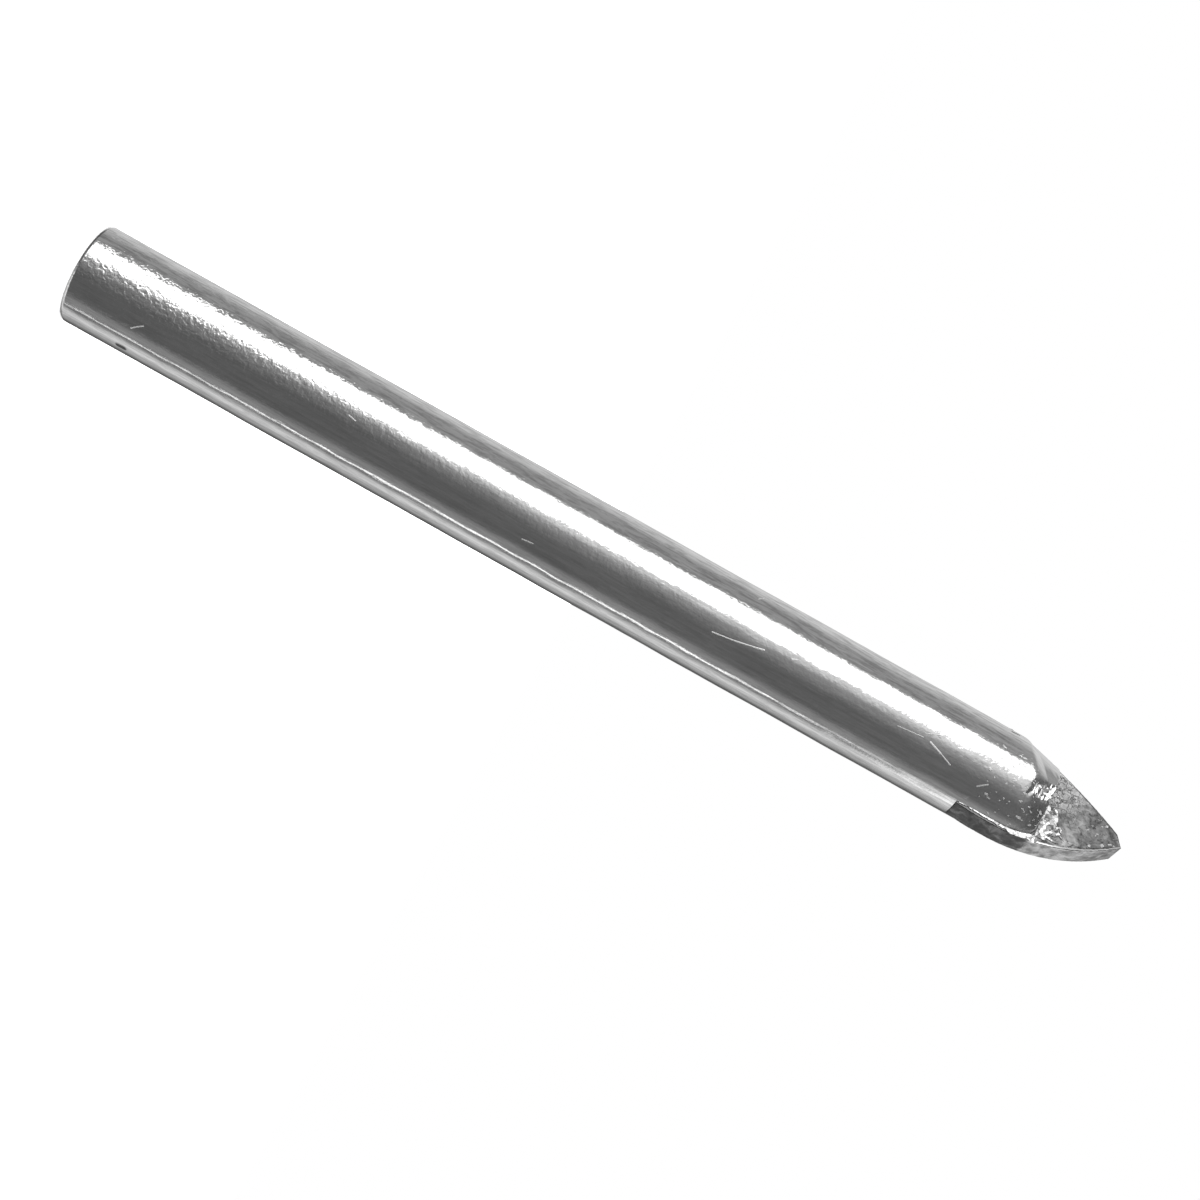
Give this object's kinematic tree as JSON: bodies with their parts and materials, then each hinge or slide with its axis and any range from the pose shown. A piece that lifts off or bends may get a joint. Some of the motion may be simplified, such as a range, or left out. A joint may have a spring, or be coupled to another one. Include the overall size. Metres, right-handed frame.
{
  "type": "glass and tile drill bit",
  "caption": "Straight round-shank drill bit with a ground, slotted nose and a brazed spear-point carbide plate, for drilling glass and ceramic tile.",
  "frame": {"origin": "centre of the flat shank end, which is the face the bit stands on", "axes": "+Z along the shank's axis towards the point; the plate lies in the XZ plane, with its faces looking along +Y and -Y"},
  "size_m": [0.0064, 0.0062, 0.0696],
  "materials": {
    "plated_steel": "bright plated steel, slightly orange-peeled, with handling marks",
    "carbide": "tungsten carbide: mottled as-brazed faces, ground flanks",
    "braze": "bright plated brazing filler, lumpy"
  },
  "bodies": {
    "root": {"shank": "plated_steel", "carbide_tip": "carbide", "braze_joint": "braze"}
  },
  "joints": []
}
